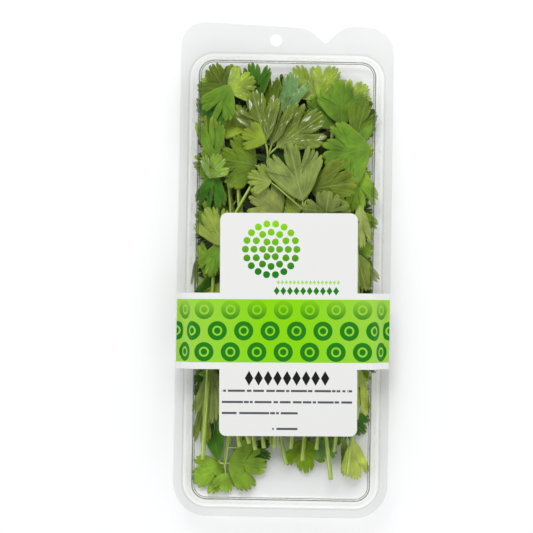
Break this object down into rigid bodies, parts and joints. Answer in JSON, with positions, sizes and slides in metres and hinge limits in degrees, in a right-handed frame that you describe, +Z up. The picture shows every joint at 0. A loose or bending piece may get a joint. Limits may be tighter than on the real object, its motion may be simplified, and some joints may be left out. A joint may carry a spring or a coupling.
{
  "type": "packed coriander bunch",
  "caption": "Bunch of cut coriander sprigs lying in a clear hinged clamshell pack with a hanging hole and a paper label across its lid.",
  "frame": {"origin": "on the surface that the pack lies on, below the middle of its outline", "axes": "+Z up out of the lid, +Y along the pack towards its hanging hole, +X away from the side that it folds on"},
  "size_m": [0.108, 0.25, 0.0227],
  "materials": {
    "clear_plastic": "clear thermoformed sheet, glossy",
    "label_paper": "smooth satin printed card",
    "coriander": "fresh leaf, satin"
  },
  "bodies": {
    "tray": {"tray": "clear_plastic", "sprig_01": "coriander", "sprig_02": "coriander", "sprig_03": "coriander", "sprig_04": "coriander", "sprig_05": "coriander", "sprig_06": "coriander", "sprig_07": "coriander", "sprig_08": "coriander", "sprig_09": "coriander", "sprig_10": "coriander", "sprig_11": "coriander", "sprig_12": "coriander", "sprig_13": "coriander", "sprig_14": "coriander", "sprig_15": "coriander", "sprig_16": "coriander", "sprig_17": "coriander", "sprig_18": "coriander", "sprig_19": "coriander", "sprig_20": "coriander", "sprig_21": "coriander", "sprig_22": "coriander", "sprig_23": "coriander", "sprig_24": "coriander", "sprig_25": "coriander", "sprig_26": "coriander", "sprig_27": "coriander", "sprig_28": "coriander", "sprig_29": "coriander", "sprig_30": "coriander"},
    "lid": {"lid": "clear_plastic", "label": "label_paper"}
  },
  "joints": [
    {"name": "lid_hinge", "type": "hinge", "parent": "tray", "child": "lid", "pos_m": [-0.05415, 0, 0.01265], "axis": [0, -1, 0], "range_deg": [0, 180]}
  ]
}
